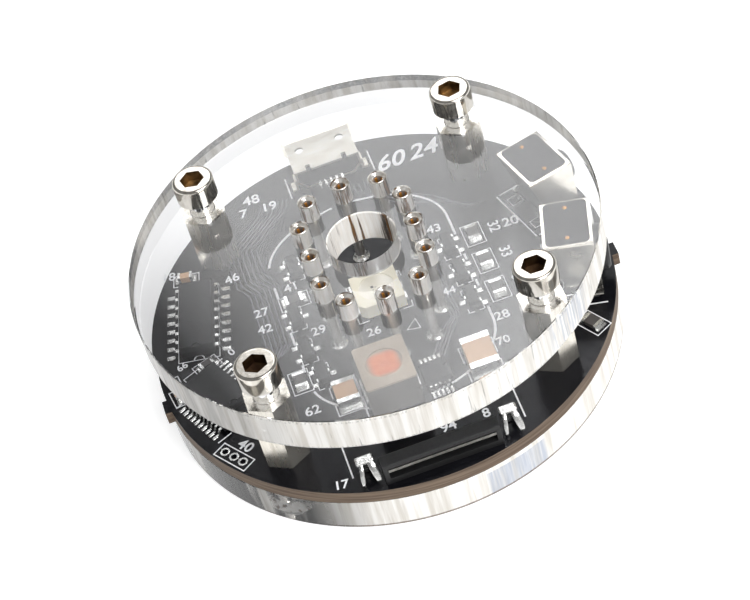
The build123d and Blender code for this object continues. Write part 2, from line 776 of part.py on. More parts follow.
def main():
    os.makedirs("parts", exist_ok=True)
    nodes = {
        "bottom_plate": bottom_plate(),
        "circuit_board": circuit_board(),
        "top_plate": top_plate(),
        "standoffs": standoffs(),
        "top_screws": top_screws(),
        "bottom_screws": bottom_screws(),
        "socket_barrels": socket_barrels(),
        "socket_contacts": socket_contacts(),
        "socket_solder": socket_solder(),
        "header_rings": header_rings(),
        "usb_shell": usb_shell(),
        "usb_insulator": usb_insulator(),
        "usb_contacts": usb_contacts(),
        "edge_housing": edge_housing(),
        "edge_bar": edge_bar(),
        "edge_clips": edge_clips(),
        "led_body": led_body(),
        "led_window": led_window(),
        "led_leads": led_leads(),
        "inductor_core": inductor_core(),
        "inductor_winding": inductor_winding(),
        "inductor_terminals": inductor_terminals(),
    }
    for name, side in (("select", 1), ("set", -1)):
        place = switch_place(side)
        nodes[name + "_body"] = place * switch_body()
        nodes[name + "_cover"] = place * switch_cover()
        nodes[name + "_bracket"] = place * switch_bracket()
        nodes[name + "_terminals"] = [place * leg for leg in switch_terminals()]
        nodes[name + "_dome"] = place * switch_dome()
        nodes[name + "_plunger"] = place * switch_plunger()
    for name, chip in (("clock_chip", CLOCK_CHIP), ("controller", CONTROLLER), ("boost_chip", BOOST_CHIP)):
        nodes[name + "_body"], nodes[name + "_leads"] = big_chip(chip)
    nodes["transistor_bodies"], nodes["transistor_leads"] = pairs(transistor, TRANSISTORS)
    nodes["capacitor_bodies"], nodes["capacitor_ends"] = pairs(two_ended, CAPACITORS)
    nodes["resistor_bodies"], nodes["resistor_ends"] = pairs(two_ended, RESISTORS)
    for name, piece in nodes.items():
        write(name, piece)


main()
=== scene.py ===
import math

import bpy
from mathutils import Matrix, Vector


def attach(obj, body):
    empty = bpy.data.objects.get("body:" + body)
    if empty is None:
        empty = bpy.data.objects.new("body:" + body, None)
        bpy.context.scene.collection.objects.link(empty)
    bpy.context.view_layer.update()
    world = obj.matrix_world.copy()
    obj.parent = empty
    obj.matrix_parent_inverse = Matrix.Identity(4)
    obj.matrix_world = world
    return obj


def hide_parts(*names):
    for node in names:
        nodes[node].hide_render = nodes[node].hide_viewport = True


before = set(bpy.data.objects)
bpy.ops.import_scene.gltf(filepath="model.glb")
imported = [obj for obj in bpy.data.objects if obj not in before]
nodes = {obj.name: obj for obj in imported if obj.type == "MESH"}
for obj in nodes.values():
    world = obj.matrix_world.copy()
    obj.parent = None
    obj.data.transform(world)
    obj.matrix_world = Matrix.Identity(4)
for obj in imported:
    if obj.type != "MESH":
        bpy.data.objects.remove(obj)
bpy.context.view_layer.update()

MM = 0.001

# ---------------------------------------------------------------- sizes, in millimetres

DISC_R = 25.0
RIM_R = 24.5           # faces of a plate beyond this are its rim
BASE_HIGH = 4.0
BOARD_TOP = 5.6
TOP_LOW = 12.6
TOP_HIGH = 16.6
HAIR = 0.012           # the plates stop this short of the CAD's faces, since faces that touch render black
INK_T = 0.02
TRACK_T = 0.012
TIP_HOLE_R = 3.65
SCREW_REACH = 14.6
SCREW_HOLE_R = 1.35
SWITCH_TURN = 15.0     # degrees from +X, to either side
OVAL_FLAT = 8.4        # the tube's outline is straight up to here, and rounded over its last OVAL_CAP
OVAL_CAP = 7.2
OVAL_END = 15.55
OVAL_HALF = 10.15
CORNERS = [(-1, -1), (-1, 1), (1, -1), (1, 1)]
SCREW_SPOTS = [(x * SCREW_REACH, y * SCREW_REACH, 0.0) for x, y in CORNERS]
PIN_SPOTS = [(0.0, 8.8, 0.0), (0.0, -8.8, 0.0)]
for side in (-1, 1):
    for end in (-1, 1):
        PIN_SPOTS += [(side * 3.95, end * 7.85, 0.0), (side * 5.7, end * 4.4, 0.0)]
    PIN_SPOTS.append((side * 5.7, 0.0, 0.0))

# Chips: x, y, turn, body length, leads a side, pitch, reach of the leads, lead width.
CLOCK_CHIP = (-19.05, 5.36, -12.3, 9.9, 8, 1.27, 3.0, 0.42)
CONTROLLER = (-19.4, -5.6, 24.7, 6.5, 10, 0.65, 3.2, 0.22)
BOOST_CHIP = (2.4, -13.5, 90.0, 3.0, 5, 0.5, 2.45, 0.22)

# Transistors: x, y, turn. Capacitors and resistors: x, y, turn, length, width.
TRANSISTORS = [(-7.5, 8.2, 0), (-9.1, 1.0, 0), (-9.2, -4.1, 0), (-8.5, -8.2, 0),
               (8.95, 3.5, 180), (9.0, -0.7, 180), (8.95, -5.0, 180)]
CAPACITORS = [(-6.9, -12.2, 90.0, 3.2, 2.3), (7.3, -13.7, 90.0, 4.5, 3.0),
              (-18.9, 12.4, -12.3, 1.6, 0.8), (-23.5, -2.4, -82.0, 1.2, 0.7)]
RESISTORS = [(11.9, 4.2, 90.0, 2.0, 1.25), (11.9, -0.2, 90.0, 2.0, 1.25), (11.9, -4.7, 90.0, 2.0, 1.25),
             (-8.6, 3.66, 0.0, 2.0, 1.25), (-10.9, -7.9, 90.0, 2.0, 1.25), (-19.6, -1.05, 20.0, 1.6, 0.8),
             (19.6, -12.2, -60.0, 2.0, 1.25)]
INDUCTOR = (-2.35, -13.0)

# ---------------------------------------------------------------- shader maths

class Value:
    """One socket of a material's graph, with Python's arithmetic."""

    def __init__(self, graph, socket):
        self.graph = graph
        self.socket = socket

    def _math(self, operation, *values):
        return self.graph.node("ShaderNodeMath", {"operation": operation}, *values)

    def __add__(self, other):
        return self._math("ADD", self, other)

    def __radd__(self, other):
        return self._math("ADD", other, self)

    def __sub__(self, other):
        return self._math("SUBTRACT", self, other)

    def __rsub__(self, other):
        return self._math("SUBTRACT", other, self)

    def __mul__(self, other):
        return self._math("MULTIPLY", self, other)

    def __gt__(self, other):
        return self._math("GREATER_THAN", self, other)

    def __lt__(self, other):
        return self._math("LESS_THAN", self, other)

    def ramp(self, low, high):
        """0 at low, 1 at high, straight between."""
        return self.graph.node("ShaderNodeMapRange", {"clamp": True}, self, low, high, 0.0, 1.0)


class Graph:
    """A material under construction."""

    def __init__(self, name):
        self.material = bpy.data.materials.new(name)
        self.material.use_nodes = True
        self.tree = self.material.node_tree
        self.shader = self.tree.nodes["Principled BSDF"]
        self.place = self.node("ShaderNodeTexCoord", {}, output="Object")

    def put(self, socket, value):
        """A value linked to a socket, or a plain number set on it."""
        if isinstance(value, Value):
            self.tree.links.new(value.socket, socket)
        else:
            socket.default_value = value

    def put_named(self, node, sockets):
        for name, value in sockets.items():
            self.put(node.inputs[name.replace("_", " ")], value)

    def node(self, kind, settings, *values, output=0, **named):
        """Any node: settings first, then sockets in order or by name. A list of outputs gives a list."""
        made = self.tree.nodes.new(kind)
        for key, value in settings.items():
            setattr(made, key, value)
        for socket, value in zip(made.inputs, values):
            self.put(socket, value)
        self.put_named(made, named)
        if isinstance(output, list):
            return [Value(self, made.outputs[name]) for name in output]
        return Value(self, made.outputs[output])

    def noise(self, scale, detail=2.0, roughness=0.5, stretch=None):
        """Noise, scale to the metre; a stretch below 1 draws it out along that axis."""
        where = self.place
        if stretch:
            where = self.node("ShaderNodeMapping", {}, where, Scale=stretch)
        return self.node("ShaderNodeTexNoise", {}, Vector=where,
                         Scale=scale, Detail=detail, Roughness=roughness)

    def mix(self, factor, first, second):
        """A colour between two colours."""
        return self.node("ShaderNodeMix", {"data_type": "RGBA"}, output="Result",
                         Factor=factor, A=first, B=second)

    def axes(self):
        """X, Y and Z of a point of the surface."""
        return self.node("ShaderNodeSeparateXYZ", {}, self.place, output=["X", "Y", "Z"])

    def bump(self, height, strength, distance):
        return self.node("ShaderNodeBump", {}, Strength=strength, Distance=distance, Height=height)

    def rays(self):
        """1 for a camera, a glossy and a transmission ray, else 0."""
        return self.node("ShaderNodeLightPath", {},
                         output=["Is Camera Ray", "Is Glossy Ray", "Is Transmission Ray"])

    def finish(self, **sockets):
        self.put_named(self.shader, sockets)
        return self.material

    def lay_over(self, factor, **sockets):
        """A second Principled shader, laid over the first by a factor."""
        first = Value(self, self.shader.outputs[0])
        over = self.node("ShaderNodeBsdfPrincipled", {}, **sockets)
        mixed = self.node("ShaderNodeMixShader", {}, factor, first, over)
        self.put(self.tree.nodes["Material Output"].inputs["Surface"], mixed)
        return self.material


class Surround(Graph):
    """The world's graph: its place is the direction that a ray leaves in."""

    def __init__(self, name):
        self.world = bpy.data.worlds.new(name)
        self.world.use_nodes = True
        self.tree = self.world.node_tree
        self.shader = self.tree.nodes["Background"]
        self.place = self.node("ShaderNodeTexCoord", {}, output="Generated")

    def along(self, axis):
        """How far a ray points along an axis, -1 to 1."""
        return self.node("ShaderNodeVectorMath", {"operation": "DOT_PRODUCT"}, self.place, axis,
                         output="Value")


def grey(level):
    return (level, level, level, 1.0)


def warm(red, green, blue):
    """A colour from its screen values, 0 to 255."""
    linear = [(c / 255 / 12.92 if c < 11 else ((c / 255 + 0.055) / 1.055) ** 2.4) for c in (red, green, blue)]
    return (*linear, 1.0)


# ---------------------------------------------------------------- materials
# Noise scales are to the metre. Places in a material are millimetres times MM, in the object's own frame.

ACRYLIC_IOR = 1.49
ACRYLIC_TINT = (0.97, 0.975, 0.98, 1.0)
ARRIS = 0.3            # height of the plates' eased edges, in millimetres


def clear_acrylic_face():
    g = Graph("clear_acrylic_face")
    haze = g.noise(180.0, 3.0)
    return g.finish(
        Base_Color=(0.94, 0.943, 0.953, 1.0),
        Transmission_Weight=1.0,
        IOR=ACRYLIC_IOR,
        Roughness=haze.ramp(0.62, 0.9) * 0.03,
    )


def clear_acrylic_edge():
    """The rims: sawn and white, given a clear polish on the left where the clear layer is tinted grey as
    painted shade, with chips, painted dark reflections as streaks and on the back of the top rim, a dark
    brown band of painted shade along the bottom edge, and bluish patches.
    """
    g = Graph("clear_acrylic_edge")
    x, y, z = g.axes()
    streaks = g.noise(2600.0, 3.0, 0.6, (1.0, 1.0, 0.05))
    bands = g.noise(1150.0, 3.0, 0.6, (1.0, 1.0, 0.06))
    specks = g.noise(4200.0, 3.0, 0.7, (1.0, 1.0, 0.5))
    broad = g.noise(240.0, 3.0, 0.6, (1.0, 1.0, 0.12))
    lower, upper, near = z < 6.0 * MM, z > 12.0 * MM, y < 0.0
    above_arris = z > (TOP_LOW + ARRIS) * MM

    low_arris = (z > TOP_LOW * MM) * (z < (TOP_LOW + ARRIS) * MM)
    arris = (z > (TOP_HIGH - 0.4) * MM) + (z < ARRIS * MM) + low_arris
    chips = arris * specks.ramp(0.5, 0.58) * 0.35
    lower_flank = (x + y * 0.2).ramp(-12.5 * MM, -18.5 * MM)
    upper_flank = (x + y * 0.2).ramp(-17.5 * MM, -22.0 * MM) * 0.5
    polished_and_shaded = (lower * lower_flank + upper * upper_flank) * (0.6 + broad.ramp(0.42, 0.5) * 0.4)
    sawn = (1.0 - polished_and_shaded) * (1.0 - upper * 0.1) * (0.9 + bands.ramp(0.62, 0.4) * 0.08) * (1.0 - chips)

    low_patch = (z < 3.4 * MM) * near * x.ramp(3.4 * MM, 3.7 * MM) * x.ramp(10.4 * MM, 10.1 * MM)
    high_patch = above_arris * near * x.ramp(13.2 * MM, 14.2 * MM) * x.ramp(18.9 * MM, 18.0 * MM)
    high_patch = high_patch * streaks.ramp(0.44, 0.52)
    patch = low_patch * (0.45 + streaks.ramp(0.4, 0.6) * 0.4) + high_patch * 0.6
    # Dark streaks on the upper rim: painted dark reflection.
    painted_dark_streaks = upper * streaks.ramp(0.63, 0.67) * 0.5
    # A dark brown band along the bottom edge: painted shade.
    foot_shade = (z < 0.34 * MM) * 0.8
    # The back of the top rim greyed: painted dark reflection.
    far_painted_reflection = (y - x * 0.3).ramp(4.0 * MM, 12.0 * MM) * (z > 14.8 * MM)
    far_painted_reflection = far_painted_reflection * (0.45 + specks.ramp(0.42, 0.58) * 0.45) * (0.5 + broad.ramp(0.6, 0.45) * 0.5)
    white = g.mix(bands.ramp(0.44, 0.66), warm(253, 251, 247), warm(228, 223, 214))
    white = g.mix(far_painted_reflection, white, warm(116, 119, 126))
    white = g.mix(painted_dark_streaks, white, warm(104, 100, 98))
    g.finish(
        # Where the rim is clear, its clear layer is tinted grey: painted shade.
        Base_Color=g.mix(polished_and_shaded * 0.8, ACRYLIC_TINT, grey(0.5)),
        Transmission_Weight=1.0,
        IOR=ACRYLIC_IOR,
        Roughness=0.04 + streaks.ramp(0.4, 0.7) * 0.08,
        Normal=g.bump(streaks, 0.3, 0.00006),
    )
    return g.lay_over(
        sawn,
        Base_Color=g.mix(foot_shade, g.mix(patch, white, warm(180, 188, 203)), warm(112, 92, 72)),
        Roughness=0.34 + streaks.ramp(0.3, 0.7) * 0.2,
        Normal=g.bump(streaks, 0.12, 0.00004),
    )


def drilled_wall():
    """Walls of the plates' holes: bright, streaked with painted reflections in dark and brownish tones, half
    clear on the near side of the tip hole.
    """
    g = Graph("drilled_wall")
    x, y, z = g.axes()
    streaks = g.noise(950.0, 4.0, 0.65, (1.0, 1.0, 0.04))
    fine = g.noise(3600.0, 2.0, 0.5, (1.0, 1.0, 0.06))
    white = g.mix(fine.ramp(0.35, 0.6), warm(255, 254, 252), warm(240, 236, 230))
    # Painted reflections, streaked through the white.
    reflected_brown = g.mix(fine.ramp(0.4, 0.6), warm(122, 88, 54), warm(70, 62, 58))
    reach = (TIP_HOLE_R + 0.85) * MM
    near = (y < 0.0) * (y > -reach) * (x > -reach) * (x < reach)
    g.finish(Base_Color=ACRYLIC_TINT, Transmission_Weight=1.0, IOR=ACRYLIC_IOR, Roughness=0.08)
    return g.lay_over(
        0.94 - near * 0.45,
        Base_Color=g.mix(streaks.ramp(0.475, 0.43), white, reflected_brown),
        Roughness=0.16 + fine.ramp(0.3, 0.7) * 0.15,
        Normal=g.bump(streaks + fine, 0.3, 0.00006),
    )


def metal(name, colour, dark, rough, grain, stretch=None, bump=0.1, share=1.0):
    """Two colours, a range of roughness, the grain's scale and stretch, bump height and metallic share."""
    g = Graph(name)
    wear = g.noise(grain, 3.0, 0.55, stretch)
    return g.finish(
        Base_Color=g.mix(wear.ramp(0.35, 0.7), colour, dark),
        Metallic=share,
        Roughness=rough[0] + wear.ramp(0.3, 0.75) * (rough[1] - rough[0]),
        Normal=g.bump(wear, bump, 0.00003),
    )


def plastic(name, colour, dark, rough, grain, bump=0.2):
    g = Graph(name)
    cast = g.noise(grain, 4.0, 0.6)
    spots = g.noise(grain * 0.12, 2.0)
    return g.finish(
        Base_Color=g.mix(spots.ramp(0.35, 0.7), colour, dark),
        Roughness=rough[0] + cast.ramp(0.3, 0.7) * (rough[1] - rough[0]),
        Normal=g.bump(cast, bump, 0.00002),
    )


def black_board():
    """Black mask on both faces, layered glass fibre on the rim."""
    g = Graph("black_board")
    x, y, z = g.axes()
    weave = g.noise(2600.0, 2.0)
    pours = g.noise(90.0, 2.0)
    edge = (z > (BASE_HIGH + 0.04) * MM) * (z < (BOARD_TOP - 0.04) * MM)
    edge = edge * (x * x + y * y > (RIM_R * MM) ** 2)
    layers = g.noise(900.0, 3.0, 0.6, (0.15, 0.15, 6.0))
    mask = g.mix(pours.ramp(0.4, 0.65), warm(12, 12, 15), warm(19, 19, 23))
    glass = g.mix(layers.ramp(0.35, 0.65), warm(128, 112, 96), warm(88, 74, 64))
    return g.finish(
        Base_Color=g.mix(edge, mask, glass),
        Roughness=0.18 + pours.ramp(0.35, 0.65) * 0.04 + weave.ramp(0.35, 0.65) * 0.015 + edge * 0.4,
        Specular_IOR_Level=0.2,
        Normal=g.bump(pours, 0.06, 0.00004),
    )


def clear_resin():
    g = Graph("clear_resin")
    cloud = g.noise(500.0, 3.0)
    return g.finish(
        Base_Color=g.mix(cloud.ramp(0.35, 0.7), warm(243, 238, 222), warm(231, 224, 203)),
        Roughness=0.18 + cloud * 0.1,
        Normal=g.bump(cloud, 0.15, 0.00003),
        Coat_Weight=0.5,
    )


def copper_wire():
    """Turns about the inductor's post, their orange fading out in a rounded square."""
    g = Graph("copper_wire")
    coil_x, coil_y = INDUCTOR
    centred = g.node("ShaderNodeMapping", {}, g.place, Location=(-coil_x * MM, -coil_y * MM, 0.0))
    turns = g.node("ShaderNodeTexWave", {"wave_type": "RINGS", "rings_direction": "Z"},
                   Vector=centred, Scale=2600.0, Distortion=0.3, output="Fac")
    tone = g.noise(700.0, 2.0)
    x, y, z = g.axes()
    dx, dy = (x - coil_x * MM) * 1000.0, (y - coil_y * MM) * 1000.0
    fade = (dx * dx * dx * dx + dy * dy * dy * dy).ramp(1.15 ** 4, 1.75 ** 4)
    wound = g.mix(turns.ramp(0.2, 0.8), warm(206, 96, 40), warm(236, 130, 72))
    wound = g.mix(tone.ramp(0.45, 0.6) * 0.5, wound, warm(238, 152, 100))
    return g.finish(
        Base_Color=g.mix(fade, wound, warm(174, 150, 130)),
        Metallic=0.1,
        Roughness=0.3 + tone * 0.2,
        Normal=g.bump(turns, 0.6, 0.00008),
    )


def white_ink():
    g = Graph("white_ink")
    coverage = g.noise(3200.0, 2.0)
    return g.finish(
        Base_Color=g.mix(coverage.ramp(0.3, 0.5), warm(214, 216, 220), warm(240, 240, 242)),
        Roughness=0.5 + coverage * 0.15,
        Normal=g.bump(coverage, 0.2, 0.00001),
    )


def painted_recess_shade():
    """The hex sockets' inside: brown metal with painted shade, darker still in the two near screws."""
    g = Graph("painted_recess_shade")
    film = g.noise(900.0, 3.0)
    x, y, z = g.axes()
    recess_shade = g.mix(film.ramp(0.35, 0.65), warm(92, 72, 44), warm(170, 138, 92))
    return g.finish(
        # Painted shade: the recess darkened further in the two screws on the near side.
        Base_Color=g.mix((y < 0.0) * 0.8, recess_shade, warm(52, 34, 28)),
        Metallic=0.9,
        Roughness=0.3 + film * 0.25,
        Normal=g.bump(film, 0.3, 0.00003),
    )


def covered_copper():
    """Tracks under the board's mask."""
    g = Graph("covered_copper")
    tone = g.noise(700.0, 2.0)
    return g.finish(
        Base_Color=g.mix(tone.ramp(0.35, 0.65), warm(84, 84, 90), warm(100, 100, 107)),
        Roughness=0.3 + tone * 0.12,
    )


def ferrite():
    """The inductor's core: tan on top, dark at the sides, lacquered on the post."""
    g = Graph("ferrite")
    x, y, z = g.axes()
    grain = g.noise(2600.0, 4.0, 0.6)
    spots = g.noise(310.0, 2.0)
    dx, dy = x - INDUCTOR[0] * MM, y - INDUCTOR[1] * MM
    lacquer = (dx * dx + dy * dy < (0.7 * MM) ** 2) * 0.85
    body = g.mix(spots.ramp(0.35, 0.7), warm(172, 158, 140), warm(148, 134, 117))
    body = g.mix((z < 9.4 * MM) * 0.85, body, warm(72, 70, 70))
    return g.finish(
        Base_Color=g.mix(lacquer, body, warm(226, 110, 52)),
        Roughness=0.5 + grain.ramp(0.3, 0.7) * 0.25,
        Normal=g.bump(grain, 0.5, 0.00002),
    )


# Stretches of the grain, along X or upright.
ALONG_X, UPRIGHT, STEEP, STEEPEST = (0.3, 1.0, 1.0), (1.0, 1.0, 0.2), (1.0, 1.0, 0.1), (1.0, 1.0, 0.06)
METALS = {
    "nickel": (warm(226, 222, 214), warm(196, 190, 180), (0.06, 0.16), 1400.0, UPRIGHT),
    "tinned_brass": (warm(252, 250, 246), warm(178, 168, 154), (0.06, 0.16), 1700.0, STEEPEST, 0.25, 0.72),
    "gold_contact": (warm(226, 168, 88), warm(186, 126, 58), (0.22, 0.36), 2600.0, None, 0.1, 0.7),
    "solder_tin": (warm(224, 224, 222), warm(186, 186, 184), (0.14, 0.34), 2400.0, None, 0.5),
    "nickel_sheet": (warm(218, 214, 204), warm(203, 198, 187), (0.16, 0.3), 1100.0, ALONG_X, 0.02),
    "satin_nickel": (warm(232, 228, 218), warm(208, 202, 190), (0.2, 0.32), 1600.0, STEEP, 0.2, 0.88),
    "pressed_bar": (warm(150, 149, 144), warm(112, 110, 106), (0.3, 0.46), 1300.0),
    "inlet_shell": (warm(242, 239, 229), warm(224, 219, 207), (0.42, 0.56), 1500.0, ALONG_X, 0.3),
}
PLASTICS = {
    "white_plastic": (warm(255, 249, 226), warm(250, 241, 214), (0.32, 0.5), 1800.0),
    "tan_ceramic": (warm(208, 170, 134), warm(192, 152, 116), (0.35, 0.5), 2600.0),
    "dark_ceramic": (warm(78, 74, 72), warm(60, 57, 56), (0.35, 0.5), 2600.0),
    "black_plastic": (warm(34, 34, 36), warm(26, 26, 28), (0.45, 0.62), 3200.0, 0.5),
    "moulding": (warm(17, 17, 18), warm(13, 13, 14), (0.5, 0.66), 3200.0, 0.4),
}
finishes = {name: metal(name, *look) for name, look in METALS.items()}
finishes.update((name, plastic(name, *look)) for name, look in PLASTICS.items())
finishes.update(
    clear_acrylic=clear_acrylic_face(),
    black_board=black_board(),
    clear_resin=clear_resin(),
    ferrite=ferrite(),
    copper_wire=copper_wire(),
)

# These nodes take another finish than the one their CAD material names.
OWN_FINISH = {
    "usb_shell": "inlet_shell",
    "usb_contacts": "solder_tin",
    "standoffs": "satin_nickel",
    "edge_bar": "pressed_bar",
    "edge_housing": "moulding",
}
for name, node in nodes.items():
    for held in node.material_slots:
        key = held.material.name.split(".")[0]
        if key in finishes:
            held.material = finishes[OWN_FINISH.get(name, key)]

# ---------------------------------------------------------------- modelling by hand

def fresh():
    """Object mode, with nothing selected."""
    if bpy.context.mode != "OBJECT":
        bpy.ops.object.mode_set(mode="OBJECT")
    bpy.ops.object.select_all(action="DESELECT")


def take(piece):
    """The piece alone selected and active."""
    fresh()
    piece.select_set(True)
    bpy.context.view_layer.objects.active = piece


def settle(piece):
    """Place, turn and scale go into the mesh."""
    take(piece)
    bpy.ops.object.transform_apply(location=True, rotation=True, scale=True)
    return piece


def close(piece, angle=35.0):
    """Doubles merged, faces outward, round parts shaded round."""
    take(piece)
    bpy.ops.object.mode_set(mode="EDIT")
    bpy.ops.mesh.select_all(action="SELECT")
    bpy.ops.mesh.remove_doubles(threshold=1e-7)
    bpy.ops.mesh.normals_make_consistent(inside=False)
    bpy.ops.object.mode_set(mode="OBJECT")
    bpy.ops.object.shade_smooth_by_angle(angle=math.radians(angle))
    return piece


def join(name, pieces):
    fresh()
    for piece in pieces:
        piece.select_set(True)
    bpy.context.view_layer.objects.active = pieces[0]
    bpy.ops.object.join()
    joined = bpy.context.object
    joined.name = name
    return settle(joined)


def copied(name, piece, x, y, z, turn):
    """A copy with its own mesh, moved to a place and turned about Z."""
    copy = bpy.data.objects.new(name, piece.data.copy())
    bpy.context.scene.collection.objects.link(copy)
    copy.location = (x * MM, y * MM, z * MM)
    copy.rotation_euler = (0.0, 0.0, math.radians(turn))
    return copy


def repeat(name, piece, spots):
    """The piece copied to every spot (x, y, turn in degrees) and joined; the piece itself is removed."""
    made = [copied(name, piece, x, y, 0.0, turn) for x, y, turn in spots]
    bpy.data.objects.remove(piece)
    return join(name, made)


def clothe(piece, *materials):
    piece.data.materials.clear()
    for material in materials:
        piece.data.materials.append(material)


def mark_edges(piece, test):
    """Edit mode, with the edges selected whose two ends pass the test."""
    take(piece)
    bpy.ops.object.mode_set(mode="EDIT")
    bpy.ops.mesh.select_mode(type="EDGE")
    bpy.ops.mesh.select_all(action="DESELECT")
    bpy.ops.object.mode_set(mode="OBJECT")
    points = piece.data.vertices
    for edge in piece.data.edges:
        edge.select = test(points[edge.vertices[0]].co / MM, points[edge.vertices[1]].co / MM)
    bpy.ops.object.mode_set(mode="EDIT")


def soften_edges(piece, test, width, segments=2):
    """The edges that pass the test, bevelled."""
    mark_edges(piece, test)
    bpy.ops.mesh.bevel(offset=width * MM, segments=segments, affect="EDGES")
    bpy.ops.object.mode_set(mode="OBJECT")


def turned(name, profile, sides):
    """A lathe piece on the Z axis: a disc at the first (radius, height), drawn up ring by ring."""
    fresh()
    radius, height = profile[0]
    centre = (0.0, 0.0, height * MM)
    bpy.ops.mesh.primitive_circle_add(vertices=sides, radius=radius * MM, fill_type="NGON", location=centre)
    piece = bpy.context.object
    piece.name = name
    settle(piece)
    bpy.ops.object.mode_set(mode="EDIT")
    bpy.ops.mesh.select_all(action="SELECT")
    for next_radius, next_height in profile[1:]:
        rise = (0.0, 0.0, (next_height - height) * MM)
        bpy.ops.mesh.extrude_region_move(TRANSFORM_OT_translate={"value": rise})
        grow = next_radius / radius
        middle = (0.0, 0.0, next_height * MM)
        bpy.ops.transform.resize(value=(grow, grow, 1.0), center_override=middle)
        radius, height = next_radius, next_height
    bpy.ops.object.mode_set(mode="OBJECT")
    return close(piece)


def carve(piece, cutter):
    """The cutter taken out of the piece, and removed."""
    take(piece)
    cut = piece.modifiers.new("cut", "BOOLEAN")
    cut.operation = "DIFFERENCE"
    cut.solver = "EXACT"
    cut.object = cutter
    bpy.ops.object.modifier_apply(modifier=cut.name)
    bpy.data.objects.remove(cutter)


def block(name, x0, x1, y0, y1, z0, z1, edge=0.0, segments=2):
    """A squared blank with its edges eased."""
    fresh()
    middle = ((x0 + x1) / 2 * MM, (y0 + y1) / 2 * MM, (z0 + z1) / 2 * MM)
    bpy.ops.mesh.primitive_cube_add(size=1.0, location=middle)
    piece = bpy.context.object
    piece.name = name
    piece.scale = ((x1 - x0) * MM, (y1 - y0) * MM, (z1 - z0) * MM)
    settle(piece)
    if edge:
        soften_edges(piece, lambda a, b: True, edge, segments)
    return piece


def swept(name, sections, edge):
    """A bar drawn through sections (x, y, z, width, height) that face along Y."""
    fresh()
    x, y, z, width, height = sections[0]
    upright = (math.pi / 2, 0.0, 0.0)
    bpy.ops.mesh.primitive_plane_add(size=1.0, location=(x * MM, y * MM, z * MM), rotation=upright)
    piece = bpy.context.object
    piece.name = name
    piece.scale = (width * MM, height * MM, 1.0)
    settle(piece)
    bpy.ops.object.mode_set(mode="EDIT")
    bpy.ops.mesh.select_all(action="SELECT")
    for nx, ny, nz, nw, nh in sections[1:]:
        step = ((nx - x) * MM, (ny - y) * MM, (nz - z) * MM)
        bpy.ops.mesh.extrude_region_move(TRANSFORM_OT_translate={"value": step})
        middle = (nx * MM, ny * MM, nz * MM)
        bpy.ops.transform.resize(value=(nw / width, 1.0, nh / height), center_override=middle)
        x, y, z, width, height = nx, ny, nz, nw, nh
    bpy.ops.object.mode_set(mode="OBJECT")
    close(piece)
    soften_edges(piece, lambda a, b: True, edge)
    return close(piece, 50.0)


def drawn_line(points, width, z, thick, closed=False):
    """A flat printed or plated line through (x, y) points."""
    fresh()
    curve = bpy.data.curves.new("line", "CURVE")
    curve.dimensions = "3D"
    curve.bevel_depth = width / 2 * MM
    curve.bevel_resolution = 1
    curve.use_fill_caps = True
    line = curve.splines.new("POLY")
    line.points.add(len(points) - 1)
    for point, (px, py) in zip(line.points, points):
        point.co = (px * MM, py * MM, 0.0, 1.0)
    line.use_cyclic_u = closed
    piece = bpy.data.objects.new("line", curve)
    bpy.context.scene.collection.objects.link(piece)
    take(piece)
    bpy.ops.object.convert(target="MESH")
    piece = bpy.context.object
    piece.scale = (1.0, 1.0, thick / width)
    piece.location = (0.0, 0.0, (z + thick / 2) * MM)
    return settle(piece)


FONT_SIZE = 1.37       # font size for a digit one unit tall
FONT_WEIGHT = 0.022    # how much thicker the strokes are drawn, for a digit one unit tall


def number(text, x, y, turn, tall, z, thick, lean):
    """A printed number, its lower left corner at (x, y)."""
    fresh()
    bpy.ops.object.text_add(location=(0.0, 0.0, 0.0))
    piece = bpy.context.object
    piece.data.body = text
    piece.data.size = tall * FONT_SIZE * MM
    piece.data.extrude = thick / 2 * MM
    piece.data.shear = lean
    piece.data.offset = tall * FONT_WEIGHT * MM
    piece.data.resolution_u = 3
    bpy.ops.object.convert(target="MESH")
    piece = bpy.context.object
    piece.location = (x * MM, y * MM, (z + thick / 2) * MM)
    piece.rotation_euler = (0.0, 0.0, math.radians(turn))
    return settle(piece)


def fit(piece, finish, slot, *stands_for):
    """Finish (None keeps what the piece has), body, slot (not used) and the nodes it stands for."""
    if finish is not None:
        clothe(piece, finish)
    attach(piece, "base")
    if stands_for:
        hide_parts(*stands_for)


def turned_to(x, y, turn, points):
    """Points of a piece's own frame, set at (x, y) and turned."""
    c, s = math.cos(math.radians(turn)), math.sin(math.radians(turn))
    return [(x + c * px - s * py, y + s * px + c * py) for px, py in points]


# ---------------------------------------------------------------- clear plates

def hole_cutter(radius, ease, spots, sides=48):
    """Cutters for the upper plate's holes, with eased rims."""
    mouth, past = radius + ease * 1.1, ease * 0.1
    cutter = turned("cutter", [(mouth, TOP_LOW - past), (radius, TOP_LOW + ease),
                               (radius, TOP_HIGH - ease), (mouth, TOP_HIGH + past)], sides)
    return repeat("cutter", cutter, spots)


plate_finishes = (finishes["clear_acrylic"], clear_acrylic_edge(), drilled_wall())


